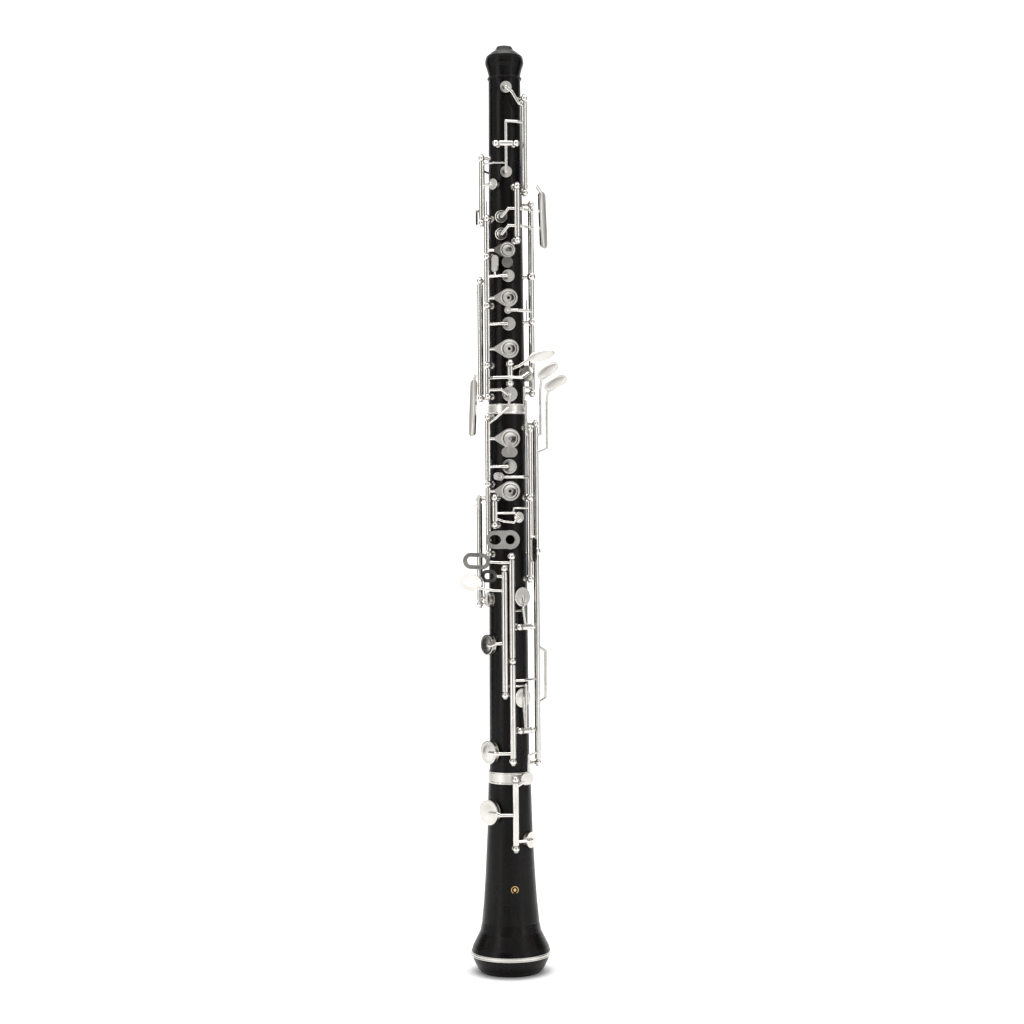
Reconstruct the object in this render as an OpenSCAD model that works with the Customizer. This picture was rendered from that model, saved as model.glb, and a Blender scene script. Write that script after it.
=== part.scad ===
// Oboe with full keywork, without its reed.
// The bore runs along +Z, the centre of the bell mouth is the origin, and the finger plates face -Y.
// A place on the keywork is given as [angle, radius, height]: the angle runs round the bore from -Y
// towards +X. Every key is drawn shut against its tone hole, and a key that stands open is then turned
// back about its own hinge line.

/* [Body] */
// Height of the body from the bell mouth to the reed well
body_height = 595; // [590:1:600]
// Height at which the top joint's shoulder rests on the lower joint
middle_joint_z = 364.6; // [363:0.1:366]
// Height at which the lower joint's shoulder rests on the bell
bell_joint_z = 129; // [128:0.5:130]
// Radius of the reed well
reed_well_r = 3.3; // [3.2:0.05:3.4]
// Depth of the reed well
reed_well_depth = 23; // [20:1:25]
// Radius of the bore just below the reed well
bore_top_r = 2.2; // [2:0.05:2.4]
// Radius of the bell's mouth
bell_mouth_r = 16; // [14:0.5:17]
// Depth of the straight part of the bell's mouth
bell_mouth_depth = 6; // [4:1:8]

/* [Keywork] */
// Radius of a key's hinge tube
tube_r = 1.9; // [1.8:0.05:1.95]
// Radius of the hole through a hinge tube
tube_bore_r = 1.16; // [1.14:0.01:1.18]
// Radius of a hinge rod
rod_r = 1.1; // [1.05:0.01:1.12]
// Radius of a post's ball
post_r = 2.15; // [2.1:0.05:2.2]
// Play at each end of a hinge tube
end_play = 0.15; // [0.1:0.05:0.2]
// Thickness of a key arm
arm_w = 2; // [1.8:0.1:2.1]

/* [Pads] */
// Depth of the flat cut into the wood round each tone hole
seat_depth = 1; // [0.9:0.05:1.1]
// Space left under a pad that is shut
pad_gap = 0.05; // [0.03:0.01:0.08]
// Thickness of a pad
pad_t = 1.6; // [1.4:0.1:1.7]
// Height of a pad cup's top above its seat
cup_top = 3; // [2.8:0.1:3.2]

/* [Travel] */
// Angle by which a finger plate stands open
plate_open = 7; // [6:0.5:7]
// Angle by which the low B key stands open
low_b_open = 8; // [6:0.5:8]
// Angle by which the bell key stands open
bell_open = 9; // [7:0.5:9]
// Angle by which the low C key stands open
c_open = 8; // [6:0.5:8]

/* [Hidden] */
$fn = 48;

silver = [0.83, 0.81, 0.77];
blackwood = [0.07, 0.06, 0.06];
cork = [0.74, 0.56, 0.38];
pad_skin = [0.86, 0.78, 0.66];
steel = [0.45, 0.48, 0.55];

// The outside of the wood: [height, radius]
wood_outline = [
    [0, 19], [2.6, 21.4], [7, 23.7], [14.2, 25.3], [16.8, 24.3], [19.3, 23], [26, 19.7], [32, 18.5],
    [45, 17.2], [58, 16.3], [71, 15.6], [90, 14.6], [116, 13.9], [129, 12.9], [148, 12.8],
    [213, 12.5], [357, 11.9], [368, 11.7], [413, 11.3], [464.6, 10.95], [571, 10.3]
];
function wood_r(z) = lookup(z, wood_outline);

// Hinge lines: [angle round the bore, distance from it]
side_octave_line = [54, 15.4];
thumb_line = [-70, 16];
trill_line = [28, 16];
upper_stack_line = [-48.5, 16];
long_trill_line = [80, 16.5];
g_sharp_line = [8, 17];
left_lever_line = [-78, 17];
lower_stack_line = [-46.5, 16.8];
f_vent_line = [-28.7, 16.8];
right_side_line = [57, 16.8];
low_note_line = [79, 18.6];
e_flat_line = [8, 17.6];
c_line = [-7.5, 17.6];
side_vent_line = [-100, 18.5];
bell_line = [11.5, 19];

// Heights of the posts on each line, from the lowest up
side_octave_posts = [499.5, 560];
thumb_posts = [481, 522.5];
trill_posts = [468.5, 503];
upper_stack_posts = [369.2, 389.1, 427.3, 458.7, 483];
long_trill_posts = [371.5, 417.5, 492.9];
g_sharp_posts = [377.3, 389.9];
left_lever_posts = [368.5, 444];
lower_stack_posts = [268.5, 313.2, 356];
f_vent_posts = [287.2, 304.5];
right_side_posts = [252.5, 304.5, 349];
low_note_posts = [134.5, 352];
e_flat_posts = [136.6, 200.5, 267];
c_posts = [179, 259.5];
side_vent_posts = [236, 303.5];
bell_posts = [81.5, 125.5];

// Guide posts, which a whole hinge tube passes through: heights on their lines
long_trill_guide_z = 446.5;
low_note_guide_z = 270;

// Rocker axles: [angle of one post, angle of the other, radius of both, height]
octave_axle = [-22, 28, 15, 530.4];
e_flat_axle = [23, 64, 17, 222];
c_sharp_axle = [23, 59, 17, 156];

// Tone holes: [angle, height, radius of the cup over it, radius of the hole]
top_holes = [
    [4.4, 566.7, 3.7, 0.8], [3.4, 512.6, 3.7, 0.7], [-38.8, 505.1, 3.55, 0.7],
    [-12.5, 484, 4.15, 1.6], [-12.5, 472.9, 4.15, 1.6], [6.4, 462.4, 5.25, 1.4],
    [8.8, 445.9, 4, 1.6], [8.8, 431.9, 5.8, 2.2], [9.1, 415.3, 4.3, 1.8],
    [9.8, 399.4, 6.1, 2.4], [10.6, 370.5, 4.8, 1.8]
];
lower_holes = [
    [9.6, 342.2, 6.3, 2.6], [7.8, 332.9, 2.5, 0.8], [7.5, 324.4, 4.7, 2], [8.7, 308.7, 6.3, 2.7],
    [31, 292, 3.5, 1.5], [7.9, 277.8, 6.1, 3], [-66, 239.4, 4.85, 2.2], [39.5, 241.1, 6.15, 3.4],
    [-60, 210.5, 6.6, 4], [37.3, 176.7, 6.15, 4], [-56.8, 141.8, 7.5, 5]
];
bell_holes = [[-50.9, 103.8, 8, 4.5], [54.3, 85.7, 5.1, 2.5]];
// The g sharp hole stands on a chimney: [angle, height, cup radius, hole radius, seat radius]
g_sharp_hole = [48, 383.7, 5.2, 2.4, 15];

cup_base = 0.8;
cup_wall = 0.4;
post_clear = post_r + end_play;
seat_cut_h = 7;

function at(line, z) = [line[1] * sin(line[0]), -line[1] * cos(line[0]), z];
function place(angle, r, z) = at([angle, r], z);
function seat_r(z) = wood_r(z) - seat_depth;
function arm_h(z) = seat_r(z) + cup_top + 0.3;
// A point beside a cup: dx along the tangent and h out from the bore
function by_cup(angle, z, dx, h) = [
    h * sin(angle) + dx * cos(angle),
    -h * cos(angle) + dx * sin(angle),
    z
];

// Stands things on the bore's side, with +Z pointing out of it and +Y up
module facing(angle, r, z) {
    rotate([0, 0, angle]) translate([0, -r, z]) rotate([90, 0, 0]) children();
}

// A flat bar with round ends, w wide and t thick, its flat side facing away from the bore
module bar(a, b, w, t) { slab(a, b, w, t, [(a[0] + b[0]) / 2, (a[1] + b[1]) / 2, 0]); }

// The same bar, its flat side facing a direction
module slab(a, b, w, t, out) {
    run = b - a;
    size = norm(run);
    along = run / size;
    flat = out - along * (along * out);
    face = flat / norm(flat);
    side = cross(face, along);
    multmatrix([
        [along[0], side[0], face[0], a[0]],
        [along[1], side[1], face[1], a[1]],
        [along[2], side[2], face[2], a[2]],
        [0, 0, 0, 1]
    ]) translate([0, 0, -t / 2]) linear_extrude(t) {
        translate([0, -w / 2]) square([size, w]);
        circle(w / 2);
        translate([size, 0]) circle(w / 2);
    }
}

// A round arm from each point to the next, with a knuckle a little thicker than the arm at each bend
module route(points, w = arm_w) {
    knuckle = 0.06;
    for (i = [0 : len(points) - 2]) {
        run = points[i + 1] - points[i];
        translate(points[i]) rotate([0, acos(run[2] / norm(run)), atan2(run[1], run[0])]) {
            cylinder(r = w / 2, h = norm(run));
            translate([0, 0, norm(run)]) sphere(w / 2 + knuckle);
        }
    }
}

// A flat bar with a hole of the same shape in it
module loop(a, b, w, wall, t) {
    difference() {
        bar(a, b, w, t);
        bar(a, b, w - 2 * wall, t + 1);
    }
}

module tube(line, low, high) {
    translate(at(line, low)) cylinder(r = tube_r, h = high - low);
}

module tube_bore(line, low, high) {
    translate(at(line, low - 1)) cylinder(r = tube_bore_r, h = high - low + 2);
}

// A key on a rod: its tube and its arms, with the tube's hole through them all
module on_tube(line, low, high) {
    difference() {
        union() {
            tube(line, low, high);
            children();
        }
        tube_bore(line, low, high);
    }
}

// A key whose own axle turns in the posts: the thick part of the axle and the arms on it
module on_axle(line, low, high, axle_low, axle_high) {
    tube(line, low, high);
    translate(at(line, axle_low)) cylinder(r = rod_r, h = axle_high - axle_low);
    children();
}

// Turns a shut key back about its hinge line
module opened(line, angle) {
    hinge = at(line, 0);
    translate(hinge) rotate([0, 0, -angle]) translate(-hinge) children();
}

module cup_on(angle, seat, z, r) {
    facing(angle, seat, z) difference() {
        translate([0, 0, cup_base]) cylinder(r = r, h = cup_top - cup_base);
        translate([0, 0, cup_base - 1]) cylinder(r = r - cup_wall, h = 1 + pad_gap + pad_t - cup_base);
    }
}

module pad_on(angle, seat, z, r) {
    facing(angle, seat + pad_gap, z) cylinder(r = r - cup_wall - 0.05, h = pad_t);
}

module cup(hole) { cup_on(hole[0], seat_r(hole[1]), hole[1], hole[2]); }
module pad(hole) { color(pad_skin) pad_on(hole[0], seat_r(hole[1]), hole[1], hole[2]); }

// A finger plate: a cup whose top runs out to a point on the hinge's side, with a hollow top
module plate(hole, reach) {
    r = hole[2];
    dish = 0.35;
    facing(hole[0], seat_r(hole[1]), hole[1]) difference() {
        union() {
            translate([0, 0, cup_base]) cylinder(r = r, h = cup_top - cup_base);
            translate([0, 0, cup_top - 1.2]) linear_extrude(1.2)
                polygon([[-r * 0.5, r * 0.86], [-reach, 1.2], [-reach, -1.2], [-r * 0.5, -r * 0.86]]);
        }
        translate([0, 0, cup_base - 1]) cylinder(r = r - cup_wall, h = 1 + pad_gap + pad_t - cup_base);
        translate([0, 0, cup_top - dish]) cylinder(r = r - 0.6, h = 1);
    }
}

// The arm of a key whose rod stands beside the cup: side is -1 for a rod on the left
module cup_arm(line, hole, side, z) {
    h = arm_h(hole[1]);
    route([
        at(line, z),
        by_cup(hole[0], z, side * (hole[2] + 0.6), h),
        by_cup(hole[0], hole[1], side * hole[2] * 0.3, h)
    ]);
}

// The arm that runs into the point of a finger plate
module plate_arm(line, hole, reach) {
    h = seat_r(hole[1]) + cup_top - 1.1;
    route([at(line, hole[1]), by_cup(hole[0], hole[1], -reach + 1.2, h)]);
}

// ---- wood ----

// Flats and tone holes cut square to the bore
module tone_holes(list) {
    for (hole = list) {
        facing(hole[0], seat_r(hole[1]), hole[1]) cylinder(r = hole[2] + 0.5, h = seat_cut_h);
        facing(hole[0], 0, hole[1]) cylinder(r = hole[3], h = wood_r(hole[1]));
    }
}

top_tenon_r = 7.8;
top_tenon_z = 342;
top_cork_r = 8.4;
top_socket_r = 8.45;
lower_tenon_r = 10;
lower_tenon_z = 104;
lower_cork_r = 10.6;
lower_socket_r = 10.65;

// Radius of the tapering bore at a height
bore_outline = [
    [bell_mouth_depth, bell_mouth_r], [30, 12.4], [60, 9.8], [104, 8.2], [342, 5.1], [572, bore_top_r]
];
function bore_r(z) = lookup(z, bore_outline);

module top_joint() {
    well_z = body_height - reed_well_depth;
    color(blackwood) difference() {
        union() {
            rotate_extrude() polygon([
                [0, middle_joint_z], [11.75, middle_joint_z], [11.3, 413], [10.95, 464.6], [10.3, 571],
                [10.3, 577], [11.3, 580.8], [12.2, 583.2], [12.4, 584.6], [12.2, 586.6], [11.6, 588.5],
                [8.7, 591], [6.2, 592.6], [4.8, body_height], [0, body_height]
            ]);
            rotate_extrude() translate([10.3, 574.3]) circle(0.8);
            translate([0, 0, top_tenon_z]) cylinder(r = top_tenon_r, h = middle_joint_z - top_tenon_z + 1);
            facing(g_sharp_hole[0], 8, g_sharp_hole[1])
                cylinder(r = g_sharp_hole[3] + 1.4, h = g_sharp_hole[4] - 8);
        }
        rotate_extrude() polygon([
            [0, top_tenon_z - 1], [bore_r(top_tenon_z), top_tenon_z - 1], [bore_r(top_tenon_z), top_tenon_z],
            [bore_top_r, well_z], [bore_top_r, well_z + 1], [0, well_z + 1]
        ]);
        translate([0, 0, well_z]) cylinder(r = reed_well_r, h = reed_well_depth + 1);
        tone_holes(top_holes);
        facing(g_sharp_hole[0], 0, g_sharp_hole[1]) cylinder(r = g_sharp_hole[3], h = g_sharp_hole[4] + 1);
    }
}

module lower_joint() {
    socket_z = top_tenon_z - 0.5;
    color(blackwood) difference() {
        union() {
            rotate_extrude() polygon([
                [0, bell_joint_z], [12.85, bell_joint_z], [12.8, 148], [12.5, 213], [11.9, 358.1],
                [11.3, 358.1], [11.3, middle_joint_z], [0, middle_joint_z]
            ]);
            translate([0, 0, lower_tenon_z])
                cylinder(r = lower_tenon_r, h = bell_joint_z - lower_tenon_z + 1);
        }
        rotate_extrude() polygon([
            [0, lower_tenon_z - 1], [bore_r(lower_tenon_z), lower_tenon_z - 1],
            [bore_r(lower_tenon_z), lower_tenon_z], [bore_r(top_tenon_z), top_tenon_z], [0, top_tenon_z]
        ]);
        translate([0, 0, socket_z]) cylinder(r = top_socket_r, h = 40);
        tone_holes(lower_holes);
    }
}

module bell() {
    socket_z = lower_tenon_z - 0.5;
    color(blackwood) difference() {
        rotate_extrude() polygon([
            [0, 0], [19, 0], [21.4, 2.6], [23.7, 7], [25.2, 11], [25.2, 13.5], [24.3, 16.8], [23, 19.3],
            [19.7, 26], [18.5, 32], [17.2, 45], [16.3, 58], [15.6, 71], [14.6, 90], [13.9, 116],
            [13.7, 121.6], [13.2, 121.6], [13.2, bell_joint_z], [0, bell_joint_z]
        ]);
        rotate_extrude() polygon([
            [0, 5], [bell_mouth_r - 0.2, 5], [15.4, 9], [bore_r(30), 30], [bore_r(60), 60],
            [bore_r(lower_tenon_z), socket_z + 1], [0, socket_z + 1]
        ]);
        translate([0, 0, -1]) cylinder(r = bell_mouth_r, h = bell_mouth_depth + 1);
        translate([0, 0, socket_z]) cylinder(r = lower_socket_r, h = 40);
        tone_holes(bell_holes);
    }
}

module sleeve(r, hole_r, low, high) {
    translate([0, 0, low]) difference() {
        cylinder(r = r, h = high - low);
        translate([0, 0, -1]) cylinder(r = hole_r, h = high - low + 2);
    }
}

module tenon_corks() {
    color(cork) {
        sleeve(top_cork_r, top_tenon_r + 0.01, 345, 362);
        sleeve(lower_cork_r, lower_tenon_r + 0.01, 107, 126);
    }
}

module joint_rings() {
    color(silver) {
        sleeve(12.2, 11.32, 358.15, middle_joint_z - 0.05);
        sleeve(13.9, 13.22, 121.65, bell_joint_z);
        sleeve(26, 25.22, 11, 13.5);
    }
}

// ---- posts, rods and springs ----

// The stem under a post's ball, standing in the wood with a collar round its foot
module stem(angle, distance, z, ball_r) {
    root = wood_r(z);
    collar_r = 2;
    stem_r = 1.15;
    top = distance - 0.75 * ball_r;
    facing(angle, root - 2, z) cylinder(r = stem_r, h = top - root + 2);
    facing(angle, root - 0.5, z) cylinder(r = collar_r, h = 1.2);
}

module post(line, z, r = post_r, hole_r = rod_r + 0.02) {
    difference() {
        union() {
            translate(at(line, z)) sphere(r);
            stem(line[0], line[1], z, r);
        }
        translate(at(line, z - 5)) cylinder(r = hole_r, h = 10);
    }
}

module posts(line, heights, hole_r = rod_r + 0.02) {
    for (z = heights) post(line, z, post_r, hole_r);
}

// Middle of a rocker's axle
function axle_mid(axle) = (place(axle[0], axle[2], axle[3]) + place(axle[1], axle[2], axle[3])) / 2;
function axle_turn(axle) = (axle[0] + axle[1]) / 2;
function axle_length(axle) = 2 * axle[2] * sin((axle[1] - axle[0]) / 2);

// Stands things on a rocker's axle, with +Z along it
module on_rocker(axle) {
    translate(axle_mid(axle)) rotate([0, 0, axle_turn(axle)]) rotate([0, 90, 0]) children();
}

module rocker_posts(axle) {
    for (i = [0, 1]) difference() {
        union() {
            on_rocker(axle) translate([0, 0, (i - 0.5) * axle_length(axle)]) sphere(post_r);
            stem(axle[i], axle[2], axle[3], post_r);
        }
        on_rocker(axle) translate([0, 0, (i - 0.5) * axle_length(axle) - 4])
            cylinder(r = rod_r + 0.02, h = 8);
    }
}

module key_posts() {
    turning = tube_bore_r;
    color(silver) {
        posts(side_octave_line, side_octave_posts);
        posts(thumb_line, thumb_posts);
        posts(trill_line, trill_posts);
        posts(upper_stack_line, upper_stack_posts);
        posts(long_trill_line, long_trill_posts, turning);
        posts(g_sharp_line, g_sharp_posts);
        posts(left_lever_line, left_lever_posts);
        posts(lower_stack_line, lower_stack_posts);
        posts(f_vent_line, f_vent_posts);
        posts(right_side_line, right_side_posts, turning);
        posts(low_note_line, low_note_posts, turning);
        posts(e_flat_line, e_flat_posts);
        posts(c_line, c_posts, turning);
        posts(side_vent_line, side_vent_posts);
        posts(bell_line, bell_posts);
        post(long_trill_line, long_trill_guide_z, 2.9, tube_r + 0.06);
        post(low_note_line, low_note_guide_z, 2.9, tube_r + 0.06);
        rocker_posts(octave_axle);
        rocker_posts(e_flat_axle);
        rocker_posts(c_sharp_axle);
    }
}

module rod(line, heights) {
    low = heights[0] - post_r;
    high = heights[len(heights) - 1] + post_r;
    translate(at(line, low)) cylinder(r = rod_r, h = high - low);
}

module rocker_rod(axle) {
    length = axle_length(axle) + 2 * post_r;
    on_rocker(axle) translate([0, 0, -length / 2]) cylinder(r = rod_r, h = length);
}

module hinge_rods() {
    color(steel) {
        rod(side_octave_line, side_octave_posts);
        rod(thumb_line, thumb_posts);
        rod(trill_line, trill_posts);
        rod(upper_stack_line, upper_stack_posts);
        rod(g_sharp_line, g_sharp_posts);
        rod(left_lever_line, left_lever_posts);
        rod(lower_stack_line, lower_stack_posts);
        rod(f_vent_line, f_vent_posts);
        rod(e_flat_line, e_flat_posts);
        rod(side_vent_line, side_vent_posts);
        rod(bell_line, bell_posts);
        rocker_rod(octave_axle);
        rocker_rod(e_flat_axle);
        rocker_rod(c_sharp_axle);
    }
}

// A needle spring: it starts in a post's stem and runs beside the tube that it presses
module needle_spring(line, z, run) {
    low = run > 0 ? z - 0.8 : z + run;
    translate(at([line[0], line[1] - 3.1], low)) cylinder(r = 0.3, h = abs(run) + 0.8);
}

module needle_springs() {
    color(steel) {
        needle_spring(side_octave_line, side_octave_posts[0], 18);
        needle_spring(thumb_line, thumb_posts[0], 14);
        needle_spring(trill_line, trill_posts[0], 7);
        needle_spring(trill_line, trill_posts[1], -12);
        needle_spring(upper_stack_line, upper_stack_posts[1], 12);
        needle_spring(upper_stack_line, upper_stack_posts[3], -12);
        needle_spring(upper_stack_line, upper_stack_posts[4], -14);
        needle_spring(long_trill_line, long_trill_posts[1], 14);
        needle_spring(left_lever_line, left_lever_posts[0], 16);
        needle_spring(lower_stack_line, lower_stack_posts[1], 16);
        needle_spring(lower_stack_line, lower_stack_posts[1], -14);
        needle_spring(f_vent_line, f_vent_posts[0], 8);
        needle_spring(right_side_line, right_side_posts[0], 16);
        needle_spring(right_side_line, right_side_posts[2], -16);
        needle_spring(e_flat_line, e_flat_posts[1], 16);
        needle_spring(e_flat_line, e_flat_posts[0], 14);
        needle_spring(side_vent_line, side_vent_posts[0], 16);
        needle_spring(bell_line, bell_posts[1], -14);
    }
}

module thumb_rest() {
    back = 180;
    z = 300;
    h = wood_r(z);
    reach = 11;
    color(silver) {
        bar(place(back, h + 0.5, z - 8), place(back, h + 0.5, z + 8), 9, 1.6);
        facing(back, h, z) translate([-4, -1, 0]) cube([8, 2, reach]);
        bar(place(back, h + reach, z), place(back, h + reach + 0.5, z - 6), 8, 2);
    }
}

// ---- octave keys ----

module side_octave_key() {
    line = side_octave_line;
    hole = top_holes[0];
    h = arm_h(hole[1]);
    color(silver) on_tube(line, side_octave_posts[0] + post_clear, side_octave_posts[1] - post_clear) {
        cup(hole);
        route([
            at(line, 555), place(36, 15.6, 556),
            by_cup(hole[0], hole[1] - 3, 3.6, h), by_cup(hole[0], hole[1], 0, h)
        ]);
        route([at(line, 544.3), place(30, 15.4, 544.3), place(3, 15.2, 544.3)], 1.8);
        route([at(line, 504.5), [20, -6, 504.5], [23.2, -3.5, 500]]);
        slab([23.4, -3.3, 498], [24.4, -3.2, 467.5], 6, 1.3, [1, -1, 0]);
    }
}
module side_octave_pad() { pad(top_holes[0]); }

// A rocker: a tube on its axle, an arm to the cup, and an arm to a tip
module rocker(axle, hole, tip) {
    h = arm_h(hole[1]);
    half = axle_length(axle) / 2 - post_clear;
    difference() {
        union() {
            on_rocker(axle) translate([0, 0, -half]) cylinder(r = tube_r, h = 2 * half);
            route([axle_mid(axle), by_cup(hole[0], hole[1], 0, h)]);
            route([axle_mid(axle), tip]);
            cup(hole);
        }
        on_rocker(axle) translate([0, 0, -20]) cylinder(r = tube_bore_r, h = 40);
    }
}

module octave_rocker() {
    color(silver) rocker(octave_axle, top_holes[1], place(3, 13.2, 544.3));
}
module octave_rocker_pad() { pad(top_holes[1]); }

module thumb_octave_key() {
    line = thumb_line;
    z = 518.4;
    color(silver) on_tube(line, 513, thumb_posts[1] - post_clear) {
        route([at(line, z), place(-32, 13.8, z), place(-6, 11.6, z), place(5, 11.5, z)], 1.1);
        route([at(line, 516.5), place(-110, 16.5, 516.5), place(-150, 15.5, 515), place(172, 15, 513)], 2.2);
        bar(place(172, 15, 513), place(172, 15, 500), 8, 1.4);
    }
}

module third_octave_key() {
    line = thumb_line;
    hole = top_holes[2];
    color(silver) on_tube(line, thumb_posts[0] + post_clear, 513 - end_play) {
        cup(hole);
        cup_arm(line, hole, -1, hole[1]);
        route([at(line, 489), place(-88, 18, 489)]);
        bar(place(-92, 18.4, 489), place(-94, 18.4, 481), 5, 1.3);
    }
}
module third_octave_pad() { pad(top_holes[2]); }

// ---- trill keys ----

trill_split = 482.5;
tail_angle = 60;

module trill_key(hole, low, high, z) {
    line = trill_line;
    h = arm_h(hole[1]);
    on_tube(line, low, high) {
        cup(hole);
        route([at(line, z), by_cup(hole[0], z, 5, h + 0.4), by_cup(hole[0], hole[1], 0.6, h)]);
        route([at(line, z), place(44, 16.2, z), place(tail_angle, 15.4, z)], 1.8);
    }
}

module upper_trill_key() {
    color(silver) trill_key(top_holes[3], trill_split + end_play, trill_posts[1] - post_clear, 488.7);
}
module upper_trill_pad() { pad(top_holes[3]); }

module lower_trill_key() {
    color(silver) trill_key(top_holes[4], trill_posts[0] + post_clear, trill_split, 477.8);
}
module lower_trill_pad() { pad(top_holes[4]); }

module tail_finger(line, z) {
    route([at(line, z), place(70, 18, z), place(tail_angle + 1, 17.45, z)], 1.8);
}

// The upper trill lever is an axle that runs right through the lower trill lever's tube
module upper_trill_lever() {
    line = long_trill_line;
    low = long_trill_posts[0];
    high = long_trill_posts[2];
    z = low + post_clear + 1.2;
    color(silver) {
        on_axle(line, 483.7, high - post_clear, low - post_r, high + post_r) {
            tail_finger(line, 488.7);
            route([at(line, z), place(60, 16, z), place(44, 15.9, z), place(44, 15.9, 362)], 1.6);
        }
        tube(line, low + post_clear, long_trill_posts[1] - post_clear);
    }
}

module lower_trill_lever() {
    line = long_trill_line;
    z = 423.7;
    color(silver) on_tube(line, long_trill_posts[1] + post_clear, 483.55) {
        tail_finger(line, 477.8);
        route([at(line, z), place(52, 18, z), place(24, 17.4, z), place(4, 16.6, z)]);
        facing(4, 15.8, z) cylinder(r = 2.3, h = 1.6);
    }
}

// ---- upper stack ----

module half_hole_key() {
    line = upper_stack_line;
    hole = top_holes[5];
    h = seat_r(hole[1]);
    color(silver) opened(line, plate_open)
        on_tube(line, upper_stack_posts[3] + post_clear, upper_stack_posts[4] - post_clear) {
            plate(hole, 8.5);
            plate_arm(line, hole, 8.5);
            facing(hole[0], h + cup_top - 1.2, 454.6) cylinder(r = 3.6, h = 1.2);
        }
}
module half_hole_pad() { opened(upper_stack_line, plate_open) pad(top_holes[5]); }

module b_plate_key() {
    line = upper_stack_line;
    color(silver) opened(line, plate_open)
        on_tube(line, upper_stack_posts[2] + post_clear, upper_stack_posts[3] - post_clear) {
            plate(top_holes[7], 9);
            plate_arm(line, top_holes[7], 9);
            cup(top_holes[6]);
            cup_arm(line, top_holes[6], -1, top_holes[6][1]);
            route([place(-27, 14.6, 446), place(-25, 15.2, 450)], 1.6);
            bar(place(-25, 15.3, 450.5), place(-24, 15.3, 456.8), 4.6, 1.2);
        }
}
module b_plate_pads() {
    opened(upper_stack_line, plate_open) {
        pad(top_holes[6]);
        pad(top_holes[7]);
    }
}

module g_plate_key() {
    line = upper_stack_line;
    color(silver) opened(line, plate_open)
        on_tube(line, upper_stack_posts[1] + post_clear, upper_stack_posts[2] - post_clear) {
            plate(top_holes[9], 9.4);
            plate_arm(line, top_holes[9], 9.4);
            cup(top_holes[8]);
            cup_arm(line, top_holes[8], -1, top_holes[8][1]);
        }
}
module g_plate_pads() {
    opened(upper_stack_line, plate_open) {
        pad(top_holes[8]);
        pad(top_holes[9]);
    }
}

stack_split = 377;

module g_sharp_key() {
    line = upper_stack_line;
    z = 380.8;
    top = g_sharp_hole[4] + cup_top;
    color(silver) on_tube(line, stack_split, upper_stack_posts[1] - post_clear) {
        cup_on(g_sharp_hole[0], g_sharp_hole[4], g_sharp_hole[1], g_sharp_hole[2]);
        route([at(line, z), place(-24, 19.6, z), place(8, 20.6, z), place(30, 19.4, z),
            by_cup(g_sharp_hole[0], g_sharp_hole[1], 0, top + 0.3)]);
    }
}
module g_sharp_pad() {
    color(pad_skin) pad_on(g_sharp_hole[0], g_sharp_hole[4], g_sharp_hole[1], g_sharp_hole[2]);
}

module g_sharp_lever() {
    line = g_sharp_line;
    z = 380.8;
    color(silver) on_tube(line, g_sharp_posts[0] + post_clear, g_sharp_posts[1] - post_clear) {
        route([at(line, z), place(-10, 16.5, z)], 1.6);
        route([at(line, 386), place(24, 19, 388), [14.5, -17, 392.5]], 1.8);
        bar([17.5, -16, 393.4], [27.5, -12.5, 396.2], 7, 1.3);
    }
}

module bridge_vent_key() {
    line = upper_stack_line;
    hole = top_holes[10];
    color(silver) opened(line, plate_open + 0.3)
        on_tube(line, upper_stack_posts[0] + post_clear, stack_split - end_play) {
            cup(hole);
            cup_arm(line, hole, -1, 373.4);
        }
}
module bridge_vent_pad() { opened(upper_stack_line, plate_open + 0.3) pad(top_holes[10]); }

module a_flat_trill_lever() {
    line = left_lever_line;
    color(silver) on_tube(line, left_lever_posts[0] + post_clear, left_lever_posts[1] - post_clear) {
        route([at(line, 384), place(-84, 20, 384), place(-86, 21, 380)]);
        slab(place(-86, 21.2, 378), place(-88, 22.4, 347), 5.4, 1.3, [-1, -1, 0]);
        route([at(line, 437), place(-92, 18.5, 437)], 1.6);
    }
}

// ---- lower stack ----

module f_sharp_plate_key() {
    line = lower_stack_line;
    z = 351.5;
    oval_h = arm_h(333.5) - 0.85;
    color(silver) opened(line, plate_open)
        on_tube(line, lower_stack_posts[1] + post_clear, lower_stack_posts[2] - post_clear) {
            plate(lower_holes[0], 9.6);
            plate_arm(line, lower_holes[0], 9.6);
            cup(lower_holes[1]);
            bar(by_cup(7.8, 333.5, -1.9, oval_h), by_cup(7.8, 333.5, 1.9, oval_h), 6.5, 1.2);
            bar(by_cup(7.8, 333.5, 0, oval_h), by_cup(9.6, 338, 0, oval_h), 3, 1.2);
            cup(lower_holes[2]);
            cup_arm(line, lower_holes[2], -1, lower_holes[2][1]);
            route([at(line, z), place(-24, 17.6, z + 3), place(6, 18.4, 362), place(10, 18.4, 370)], 1.8);
        }
}
module f_sharp_pads() {
    opened(lower_stack_line, plate_open) for (i = [0, 1, 2]) pad(lower_holes[i]);
}

e_split = 285.85;

module e_plate_key() {
    line = lower_stack_line;
    color(silver) opened(line, plate_open)
        on_tube(line, e_split + end_play, lower_stack_posts[1] - post_clear) {
            plate(lower_holes[3], 9.6);
            plate_arm(line, lower_holes[3], 9.6);
            route([at(line, 305), place(-59, 18.9, 305)], 2);
        }
}
module e_plate_pad() { opened(lower_stack_line, plate_open) pad(lower_holes[3]); }

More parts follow.
